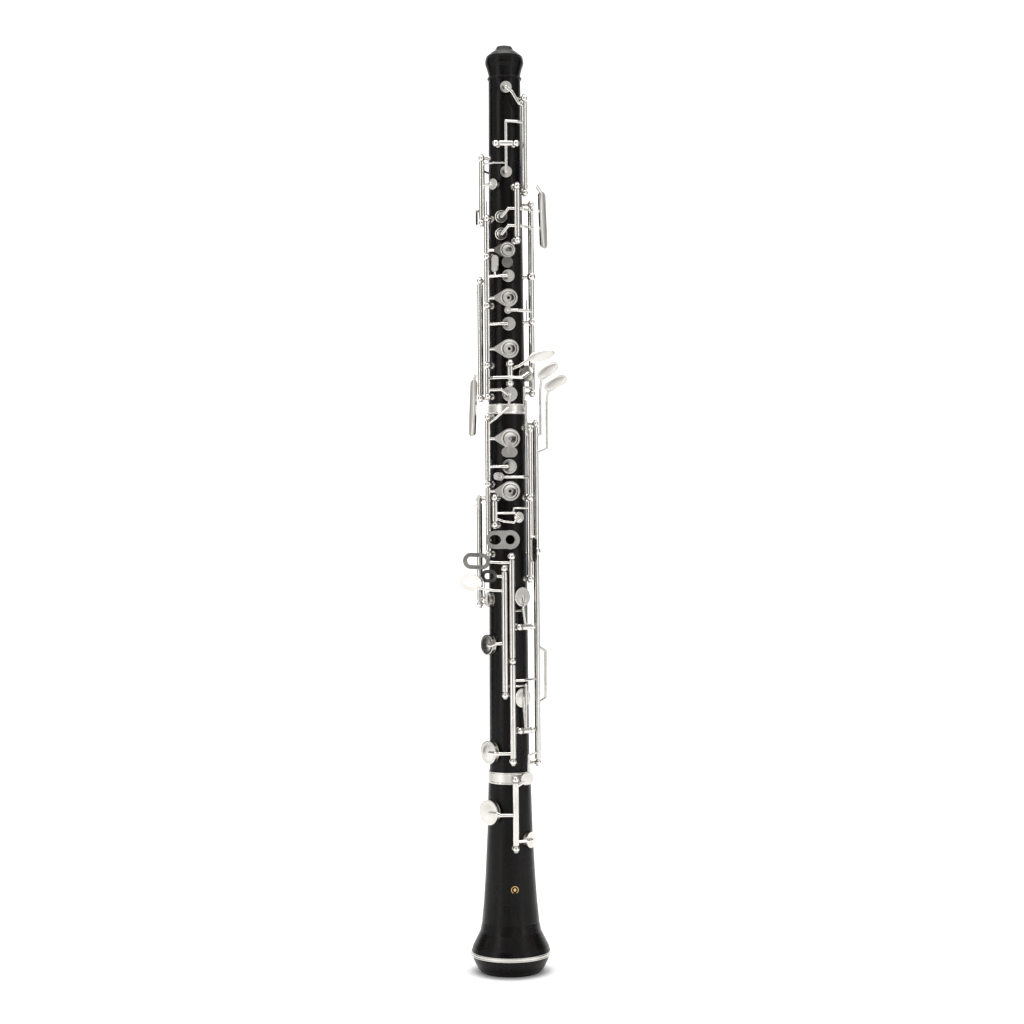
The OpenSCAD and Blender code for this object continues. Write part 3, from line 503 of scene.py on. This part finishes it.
def paper_finish(colours):
    tree, shader, coordinates = new_finish("Backdrop paper")
    fibres = add_noise(tree, coordinates, 40, 4)
    deep = [part * 0.985 for part in colours.backdrop[:3]] + [1]
    mottled = mix_colour(tree, fibres.outputs["Fac"], colours.backdrop, deep)
    tree.links.new(mottled, shader.inputs["Base Color"])
    shader.inputs["Roughness"].default_value = 0.95


def card_finish():
    tree, shader, coordinates = new_finish("Black card")
    fibres = add_noise(tree, coordinates, 60, 3)
    tree.links.new(
        mix_colour(tree, fibres.outputs["Fac"], (0.006, 0.006, 0.006, 1), (0.012, 0.012, 0.012, 1)),
        shader.inputs["Base Color"],
    )
    shader.inputs["Roughness"].default_value = 1
    shader.inputs["Specular IOR Level"].default_value = 0


class OBOE_OT_finishes(bpy.types.Operator):
    """Make the finishes: wood, silver, steel, cork, pad skin, gold and the backdrop's paper"""

    bl_idname = "oboe.finishes"
    bl_label = "Finishes"

    def execute(self, context):
        colours = context.scene.oboe_colours
        make_handling()
        make_hairlines()
        make_grain()
        metal_finish("Silver plate", colours.silver, colours.tarnish, 0.13, 0.26, 0.7, 0.12)
        metal_finish("Satin silver", colours.silver, colours.tarnish, 0.36, 0.46, 0.8, 0.5)
        metal_finish("Bright steel", colours.steel, [0.42, 0.42, 0.44, 1], 0.2, 0.34, 0.8, 0.2)
        metal_finish("Blued spring", colours.spring, [0.12, 0.09, 0.1, 1], 0.25, 0.4, 0.8, 0.2)
        metal_finish("Gold inlay", colours.gold, [0.62, 0.4, 0.16, 1], 0.25, 0.4, 0.8, 0.3)
        wood_finish(colours)
        cork_finish(colours)
        pad_finish(colours)
        paper_finish(colours)
        card_finish()
        return {"FINISHED"}


def finish_of(node):
    """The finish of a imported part, by its name."""
    named = {"tenon_corks": "Cork", "hinge_rods": "Bright steel", "needle_springs": "Blued spring"}
    if node in WOODEN:
        return "Oiled blackwood"
    if node in SATIN:
        return "Satin silver"
    if node.endswith(("_pad", "_pads")):
        return "Pad skin"
    return named.get(node, "Silver plate")


class OBOE_OT_packed_parts(bpy.types.Operator):
    """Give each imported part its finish"""

    bl_idname = "oboe.packed_parts"
    bl_label = "Packed parts"

    def execute(self, context):
        for name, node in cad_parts.items():
            node.data.materials.clear()
            node.data.materials.append(bpy.data.materials[finish_of(name)])
        return {"FINISHED"}


class OBOE_OT_plates(bpy.types.Operator):
    """Set a saucer with a fine ridge in each finger plate, with a bead or a vent in the middle"""

    bl_idname = "oboe.plates"
    bl_label = "Finger plates"

    def execute(self, context):
        sizes = context.scene.oboe_sizes
        for body, angle, height, radius, middle in PLATES:
            place = over_cup(body, angle, height)
            rim = radius - 0.62
            low, top = CUP_TOP - 0.33, CUP_TOP
            inner = 1.0 if middle == "vent" else 0
            saucer = [
                (inner, low), (rim, low), (rim, top - 0.02), (rim - 0.2, top + 0.02), (rim - 0.5, top - 0.12),
                (rim * 0.72, top - 0.17), (rim * 0.7, top - 0.12), (rim * 0.66, top - 0.12),
                (rim * 0.64, top - 0.18),
            ]
            vented = [(1.7, top - 0.2), (1.6, top + 0.02), (inner, top + 0.02)]
            saucer += vented if inner else [(0, top - 0.22)]
            bm = bmesh.new()
            turned(bm, saucer, place, sizes.turn_steps)
            piece(bm, body + "_saucer", body, "Silver plate")
            bm = bmesh.new()
            if inner:
                # painted shade: a blackwood disc just under the saucer closes the vent, standing in for the dark
                # hole below it
                floor = [(0, low - 0.1), (0.98, low - 0.1), (0.98, low + 0.04), (0, low + 0.04)]
                turned(bm, floor, place, 24)
                piece(bm, body + "_vent_shade_disc", body, "Oiled blackwood")
            else:
                stand = place @ Matrix.Translation((0, 0, (top - 0.24) * MM))
                slotted_head(bm, stand @ Matrix.Rotation(0.7, 4, "Z"), 1.15 * MM, 0.55 * MM, sizes.slot_w)
                piece(bm, body + "_bead", body, "Bright steel")
        return {"FINISHED"}


class OBOE_OT_cup_crowns(bpy.types.Operator):
    """Crown each pad cup with a low stepped dome"""

    bl_idname = "oboe.cup_crowns"
    bl_label = "Cup crowns"

    def execute(self, context):
        sizes = context.scene.oboe_sizes
        rise = sizes.dome_h / MM
        for body, angle, height, radius in CUPS:
            edge = radius - 0.3
            dome = [
                (0, CUP_TOP - 0.1), (edge, CUP_TOP - 0.1), (edge, CUP_TOP + 0.06), (edge - 0.35, CUP_TOP + 0.16),
                (edge - 0.55, CUP_TOP + 0.13), (edge * 0.6, CUP_TOP + rise * 0.75), (0, CUP_TOP + rise),
            ]
            bm = bmesh.new()
            turned(bm, dome, over_cup(body, angle, height), sizes.turn_steps)
            piece(bm, f"{body}_crown_{round(height)}", body, "Silver plate")
        return {"FINISHED"}


class OBOE_OT_touches(bpy.types.Operator):
    """Swell the little finger touches of the left hand"""

    bl_idname = "oboe.touches"
    bl_label = "Touches"

    def execute(self, context):
        sizes = context.scene.oboe_sizes
        rise = sizes.touch_crown / MM
        for body, start, end, width, thick, out in TOUCHES:
            length = (Vector(end) - Vector(start)).length + width - 0.5
            place = along_bar(start, end, out) @ Matrix.Translation((0, 0, thick / 2 * MM))
            place = place @ Matrix.Diagonal((length / 2, (width - 0.5) / 2, 1, 1))
            swell = [(0, -0.1), (1, -0.1), (1, 0.05), (0.97, rise * 0.3), (0.88, rise * 0.6), (0.7, rise * 0.85),
                     (0.4, rise * 0.97), (0, rise)]
            bm = bmesh.new()
            turned(bm, swell, place, sizes.turn_steps)
            piece(bm, body + "_touch", body, "Satin silver")
        return {"FINISHED"}


class OBOE_OT_screws(bpy.types.Operator):
    """Put a slotted head at both ends of each hinge line"""

    bl_idname = "oboe.screws"
    bl_label = "Hinge screws"

    def execute(self, context):
        sizes = context.scene.oboe_sizes
        reach = 1.65
        for count, (line, (angle, distance, low, high)) in enumerate(HINGE_LINES.items()):
            bm = bmesh.new()
            centre = facing(angle, distance, 0).translation
            for height, flip in ((high + reach, 0), (low - reach, math.pi)):
                place = Matrix.Translation(centre + Vector((0, 0, height * MM)))
                place = place @ Matrix.Rotation(flip, 4, "X") @ Matrix.Rotation(0.5 + count * 0.9, 4, "Z")
                slotted_head(bm, place, sizes.head_r, sizes.head_h, sizes.slot_w)
            piece(bm, line + "_screws", "body", "Bright steel")
        return {"FINISHED"}


class OBOE_OT_bands(bpy.types.Operator):
    """Turn a raised line near both edges of each silver band"""

    bl_idname = "oboe.bands"
    bl_label = "Band lines"

    def execute(self, context):
        sizes = context.scene.oboe_sizes
        for name, (low, high, radius) in BANDS.items():
            bm = bmesh.new()
            inset = min(0.9, (high - low) * 0.22)
            for height in (low + inset, high - inset):
                line = [(radius - 0.2, height - 0.35), (radius + 0.02, height - 0.3), (radius + 0.22, height),
                        (radius + 0.02, height + 0.3), (radius - 0.2, height + 0.35)]
                turned(bm, line, Matrix.Identity(4), sizes.turn_steps * 2)
            piece(bm, name + "_band_lines", "body", "Silver plate")
        return {"FINISHED"}


class OBOE_OT_inlay(bpy.types.Operator):
    """Set a plain gold lozenge in a ring on the bell"""

    bl_idname = "oboe.inlay"
    bl_label = "Bell inlay"

    def execute(self, context):
        sizes = context.scene.oboe_sizes
        height = 55
        place = facing(9.9, lookup(WOOD_OUTLINE, height), height)
        bm = bmesh.new()
        turned(bm, [(2.0, -0.5), (2.45, -0.5), (2.4, 0.05), (2.2, 0.1), (2.0, 0.05)], place, sizes.turn_steps)
        gem = bmesh.ops.create_cone(
            bm, cap_ends=True, segments=4, radius1=1.5 * MM, radius2=1.2 * MM, depth=0.8 * MM,
        )
        stretch = Matrix.Diagonal((0.8, 1.15, 1, 1))
        sunk = place @ Matrix.Translation((0, 0, -0.25 * MM))
        bmesh.ops.transform(bm, matrix=sunk @ stretch, verts=gem["verts"])
        piece(bm, "bell_inlay", "body", "Gold inlay")
        return {"FINISHED"}


# ---- stage ----


def soft_light(name, place, aim, width, height, power):
    """A large soft light that looks at a point."""
    lamp = bpy.data.lights.new(name, "AREA")
    lamp.shape = "RECTANGLE"
    lamp.size, lamp.size_y, lamp.energy = width, height, power
    made = bpy.data.objects.new(name, lamp)
    made.location = place
    made.rotation_euler = (Vector(aim) - Vector(place)).to_track_quat("-Z", "Y").to_euler()
    bpy.context.scene.collection.objects.link(made)


def dark_card(name, place, aim, width, height):
    """A black card that the camera doesn't see, for the polished metal to mirror."""
    turn = (Vector(aim) - Vector(place)).to_track_quat("-Z", "Y").to_matrix().to_4x4()
    bm = bmesh.new()
    bmesh.ops.create_grid(
        bm, x_segments=1, y_segments=1, size=0.5,
        matrix=Matrix.Translation(place) @ turn @ Matrix.Diagonal((width, height, 1, 1)),
    )
    mesh = bpy.data.meshes.new(name)
    bm.to_mesh(mesh)
    bm.free()
    mesh.materials.append(bpy.data.materials["Black card"])
    made = bpy.data.objects.new(name, mesh)
    made.visible_camera = False
    made.visible_shadow = False
    bpy.context.scene.collection.objects.link(made)


class OBOE_OT_stage(bpy.types.Operator):
    """Build the studio: a pale curved backdrop, soft lights, dark cards for the metal, and the camera"""

    bl_idname = "oboe.stage"
    bl_label = "Stage"

    def execute(self, context):
        scene = context.scene
        front, bend_start, bend_r, top, half_w = -2.6, 1.2, 0.8, 3.2, 3.0
        bm = bmesh.new()
        near, far = bm.verts.new((-half_w, front, 0)), bm.verts.new((-half_w, bend_start, 0))
        bm.edges.new((near, far))
        bend = bmesh.ops.spin(
            bm, geom=[far], cent=(0, bend_start, bend_r), axis=(1, 0, 0), angle=math.pi / 2, steps=16,
        )
        end = [v for v in bend["geom_last"] if isinstance(v, bmesh.types.BMVert)][0]
        bm.edges.new((end, bm.verts.new((-half_w, bend_start + bend_r, top))))
        swept = bmesh.ops.extrude_edge_only(bm, edges=bm.edges[:])
        moved = [v for v in swept["geom"] if isinstance(v, bmesh.types.BMVert)]
        bmesh.ops.translate(bm, vec=(2 * half_w, 0, 0), verts=moved)
        bmesh.ops.recalc_face_normals(bm, faces=bm.faces)
        for face in bm.faces:
            face.smooth = True
        mesh = bpy.data.meshes.new("backdrop")
        bm.to_mesh(mesh)
        bm.free()
        mesh.materials.append(bpy.data.materials["Backdrop paper"])
        backdrop = bpy.data.objects.new("backdrop", mesh)
        scene.collection.objects.link(backdrop)

        middle = (0, 0, 0.3)
        soft_light("left_window", (-1.0, -0.95, 0.5), middle, 0.4, 1.5, 4)
        soft_light("right_window", (1.15, -0.95, 0.5), middle, 0.3, 1.5, 3)
        soft_light("overhead", (0, 0.2, 2.4), (0, 0.8, 0), 2.4, 1.6, 60)
        dark_card("front_card", (-0.6, -1.75, 0.3), middle, 1.3, 1.6)
        dark_card("left_card", (-0.95, 0.45, 0.3), middle, 0.55, 1.4)
        dark_card("right_card", (0.95, 0.35, 0.3), middle, 0.6, 1.4)

        world = bpy.data.worlds.new("studio")
        world.use_nodes = True
        world.node_tree.nodes["Background"].inputs["Color"].default_value = (1, 1, 1, 1)
        world.node_tree.nodes["Background"].inputs["Strength"].default_value = 0.62
        scene.world = world
        scene.view_settings.view_transform = "Standard"

        lens = bpy.data.cameras.new("studio_camera")
        lens.lens = 66
        lens.sensor_width = 36
        camera = bpy.data.objects.new("studio_camera", lens)
        camera.matrix_world = (
            Matrix.Translation((0.0028, -1.21, 0.2954))
            @ Matrix.Rotation(math.pi / 2, 4, "X")
            @ Matrix.Rotation(math.radians(-0.435), 4, "Z")
        )
        scene.collection.objects.link(camera)
        scene.camera = camera
        return {"FINISHED"}


STEPS = ("finishes", "packed_parts", "plates", "cup_crowns", "touches", "screws", "bands", "inlay", "stage")


class OBOE_PT_looks(bpy.types.Panel):
    """Lists the sizes, the colours and the steps"""

    bl_label = "Oboe"
    bl_idname = "OBOE_PT_looks"
    bl_space_type = "VIEW_3D"
    bl_region_type = "UI"
    bl_category = "Oboe"

    def draw(self, context):
        for group in (context.scene.oboe_sizes, context.scene.oboe_colours):
            for name in group.__annotations__:
                self.layout.prop(group, name)
        for step in STEPS:
            self.layout.operator("oboe." + step)


CLASSES = (
    OboeSizes, OboeColours, OBOE_OT_finishes, OBOE_OT_packed_parts, OBOE_OT_plates, OBOE_OT_cup_crowns,
    OBOE_OT_touches, OBOE_OT_screws, OBOE_OT_bands, OBOE_OT_inlay, OBOE_OT_stage, OBOE_PT_looks,
)


def register():
    for kind in CLASSES:
        bpy.utils.register_class(kind)
    bpy.types.Scene.oboe_sizes = PointerProperty(type=OboeSizes)
    bpy.types.Scene.oboe_colours = PointerProperty(type=OboeColours)


def unregister():
    del bpy.types.Scene.oboe_colours
    del bpy.types.Scene.oboe_sizes
    for kind in reversed(CLASSES):
        bpy.utils.unregister_class(kind)


def main():
    register()
    for step in STEPS:
        getattr(bpy.ops.oboe, step)()


if __name__ == "__main__":
    main()
